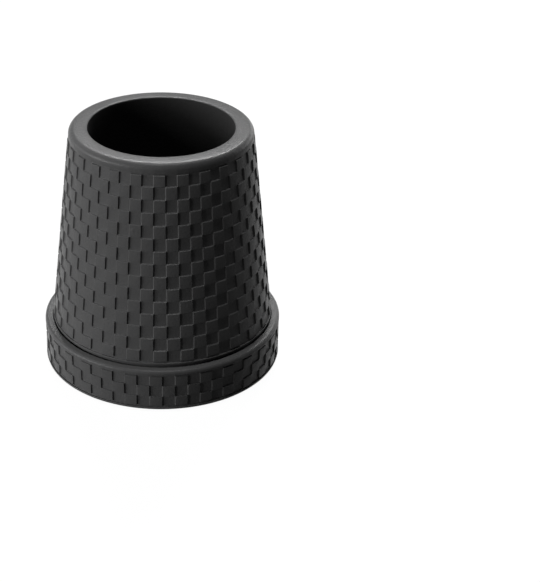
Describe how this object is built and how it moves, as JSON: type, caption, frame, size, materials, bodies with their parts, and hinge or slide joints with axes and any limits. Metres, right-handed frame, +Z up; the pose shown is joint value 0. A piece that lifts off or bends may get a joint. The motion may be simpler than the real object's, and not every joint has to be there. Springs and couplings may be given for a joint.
{
  "type": "rubber cane tip",
  "caption": "Moulded rubber tip for a walking cane: tapered wall with checkered relief, wide collar, blind shaft socket and ringed tread.",
  "frame": {"origin": "middle of the underside, on the surface that the tip stands on", "axes": "+Z up the shaft, out of the socket's mouth; the tip is round about Z"},
  "size_m": [0.0318, 0.0318, 0.0332],
  "materials": {
    "rubber": "matte black moulded rubber with a fine grain and a soft satin sheen"
  },
  "bodies": {
    "root": {"cane_tip": "rubber"}
  },
  "joints": []
}
